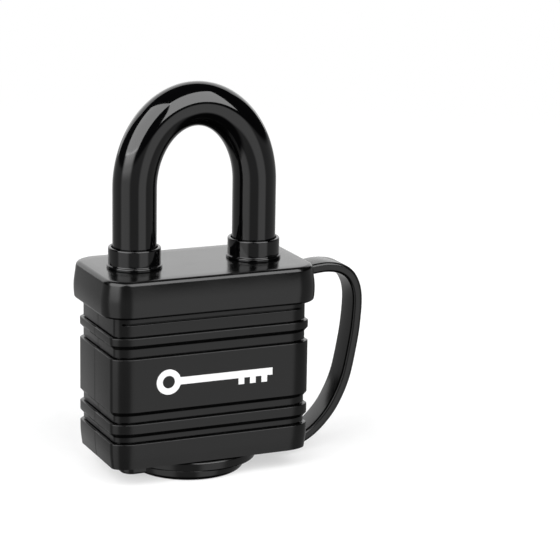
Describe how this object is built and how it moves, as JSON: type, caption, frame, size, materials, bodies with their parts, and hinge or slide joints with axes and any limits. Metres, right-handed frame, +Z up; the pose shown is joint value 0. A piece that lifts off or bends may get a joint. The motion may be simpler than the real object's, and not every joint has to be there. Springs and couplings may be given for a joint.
{
  "type": "covered laminated padlock",
  "caption": "Laminated-steel padlock in a banded plastic shell, with a soft cap, sleeved shackle and a strapped keyway cover, for locking gates and hasps outdoors.",
  "frame": {"origin": "on the flat underside of the keyway cover, under the middle of the body", "axes": "+Z up along the shackle legs; +X towards the strap side and the shackle's heel; -Y out of the front face"},
  "size_m": [0.0619, 0.0272, 0.0826],
  "materials": {
    "shell_plastic": "fine-textured matte black moulding",
    "white_ink": "white pad-printed ink",
    "cap_rubber": "satin black thermoplastic elastomer",
    "gloss_vinyl": "glossy black vinyl",
    "hardened_steel": "bright plated hardened steel",
    "plain_steel": "zinc-plated pressed steel",
    "brass": "machined brass",
    "spring_steel": "drawn spring wire"
  },
  "bodies": {
    "body": {"shell_front": "shell_plastic", "shell_rear": "shell_plastic", "printed_mark": "white_ink", "top_cap": "cap_rubber", "toe_collar": "gloss_vinyl", "heel_collar": "gloss_vinyl", "tether_strap": "cap_rubber", "bottom_plate": "plain_steel", "lamination_01": "plain_steel", "lamination_02": "plain_steel", "lamination_03": "plain_steel", "lamination_04": "plain_steel", "lamination_05": "plain_steel", "lamination_06": "plain_steel", "lamination_07": "plain_steel", "lamination_08": "plain_steel", "lamination_09": "plain_steel", "lamination_10": "plain_steel", "lamination_11": "plain_steel", "lamination_12": "plain_steel", "lamination_13": "plain_steel", "lamination_14": "plain_steel", "top_plate": "plain_steel", "rivet_1": "plain_steel", "rivet_2": "plain_steel", "rivet_3": "plain_steel", "rivet_4": "plain_steel", "cylinder_housing": "brass", "driver_pin_1": "brass", "driver_pin_2": "brass", "driver_pin_3": "brass", "driver_pin_4": "brass", "pin_spring_1": "spring_steel", "pin_spring_2": "spring_steel", "pin_spring_3": "spring_steel", "pin_spring_4": "spring_steel", "shackle_spring": "spring_steel"},
    "shackle_bow": {"shackle": "hardened_steel", "shackle_sleeve": "gloss_vinyl"},
    "plug": {"cylinder_plug": "brass", "tail_cam": "plain_steel", "key_pin_1": "brass", "key_pin_2": "brass", "key_pin_3": "brass", "key_pin_4": "brass"},
    "toe_lever_body": {"toe_lever": "plain_steel"},
    "heel_lever_body": {"heel_lever": "plain_steel"},
    "cover_body": {"keyway_cover": "cap_rubber"}
  },
  "joints": [
    {"name": "shackle_lift", "type": "slide", "parent": "body", "child": "shackle_bow", "axis": [0, 0, 1], "range_m": [0, 0.0165], "deforming": ["shackle_spring"]},
    {"name": "plug_turn", "type": "hinge", "parent": "body", "child": "plug", "pos_m": [0, -0.0016, 0.006], "axis": [0, 0, 1], "range_deg": [0, 90.5]},
    {"name": "toe_lever_slide", "type": "slide", "parent": "body", "child": "toe_lever_body", "axis": [1, 0, 0], "range_m": [0, 0.0067]},
    {"name": "heel_lever_slide", "type": "slide", "parent": "body", "child": "heel_lever_body", "axis": [-1, 0, 0], "range_m": [0, 0.0034]},
    {"name": "keyway_cover_swing", "type": "hinge", "parent": "body", "child": "cover_body", "pos_m": [0.01525, 0, 0.00105], "axis": [0, -1, 0], "range_deg": [0, 105]}
  ],
  "couplings": [
    {"joint": "plug_turn", "follows": "shackle_lift", "rad_per_m": 95.2},
    {"joint": "toe_lever_slide", "follows": "shackle_lift", "ratio": 0.4},
    {"joint": "heel_lever_slide", "follows": "shackle_lift", "ratio": 0.2}
  ]
}
